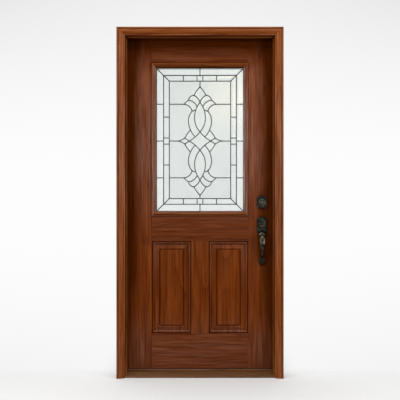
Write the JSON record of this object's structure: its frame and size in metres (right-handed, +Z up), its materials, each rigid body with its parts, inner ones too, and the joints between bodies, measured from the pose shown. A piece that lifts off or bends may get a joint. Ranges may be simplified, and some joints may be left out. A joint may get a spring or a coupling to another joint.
{
  "type": "prehung fibreglass entrance door",
  "caption": "Prehung fibreglass entrance door with a leaded-glass half lite, raised lower panels, a grip handle set and deadbolt, in a timber frame with brick mould and sill.",
  "frame": {"origin": "underside of the sill, midway between the jambs, in the outside wall plane at the back of the brick mould", "axes": "+X to the right seen from outside, +Y into the house, +Z up"},
  "size_m": [1.0092, 0.2098, 2.1241],
  "materials": {
    "stained_skin": "pressed wood grain, walnut stain, satin clear coat",
    "stained_timber": "walnut stain, satin clear coat",
    "edge_timber": "laminated timber edge, primed",
    "foam": "closed-cell foam",
    "threshold_timber": "stained hardwood",
    "bronze_tread": "bronze anodised extrusion",
    "seal_foam": "matte foam-filled seal",
    "clear_glass": "clear float glass",
    "cut_glass": "bevelled and granular obscure glass",
    "came_metal": "dark patina on leaded came",
    "spacer_metal": "mill finish spacer bar",
    "dark_bronze": "oil-rubbed bronze, satin",
    "plug_metal": "worn brass key plug"
  },
  "bodies": {
    "frame": {"hinge_jamb": "stained_timber", "strike_jamb": "stained_timber", "head_jamb": "stained_timber", "brick_mould_hinge_side": "stained_timber", "brick_mould_strike_side": "stained_timber", "brick_mould_head": "stained_timber", "seal_hinge_side": "seal_foam", "seal_strike_side": "seal_foam", "seal_head": "seal_foam", "sill_core": "edge_timber", "sill_tread": "bronze_tread", "threshold_cap": "threshold_timber", "hinge_top_jamb_leaf": "dark_bronze", "hinge_middle_jamb_leaf": "dark_bronze", "hinge_bottom_jamb_leaf": "dark_bronze", "hinge_pins": "dark_bronze", "strike_plates": "dark_bronze"},
    "door": {"exterior_skin": "stained_skin", "interior_skin": "stained_skin", "hinge_stile": "edge_timber", "lock_stile": "edge_timber", "top_rail": "edge_timber", "bottom_rail": "edge_timber", "foam_core": "foam", "door_sweep": "seal_foam", "exterior_lite_frame": "stained_skin", "interior_lite_frame": "stained_skin", "outer_pane": "clear_glass", "inner_pane": "clear_glass", "glass_spacers": "spacer_metal", "came_lattice": "came_metal", "cut_glass": "cut_glass", "hinge_top_door_leaf": "dark_bronze", "hinge_middle_door_leaf": "dark_bronze", "hinge_bottom_door_leaf": "dark_bronze", "lock_faceplates": "dark_bronze", "lock_bolts": "dark_bronze", "handle_escutcheon": "dark_bronze", "grip_handle": "dark_bronze", "deadbolt_rose": "dark_bronze", "knob_rose": "dark_bronze", "inside_knob": "dark_bronze", "thumbturn_rose": "dark_bronze", "thumbturn": "dark_bronze"},
    "thumb": {"thumb_piece": "dark_bronze"},
    "plug": {"deadbolt_plug": "plug_metal"}
  },
  "joints": [
    {"name": "door_swing", "type": "hinge", "parent": "frame", "child": "door", "pos_m": [-0.4545, 0.123, 1], "axis": [0, 0, 1], "range_deg": [0, 170]},
    {"name": "thumb_press", "type": "hinge", "parent": "door", "child": "thumb", "pos_m": [0.382, 0.06396, 0.9185], "axis": [1, 0, 0], "range_deg": [0, 20], "stiffness_Nm_per_rad": 0.3, "springref_deg": -17.19},
    {"name": "key_turn", "type": "hinge", "parent": "door", "child": "plug", "pos_m": [0.382, 0.0605, 1.0645], "axis": [0, 1, 0], "range_deg": [-90, 90]}
  ]
}
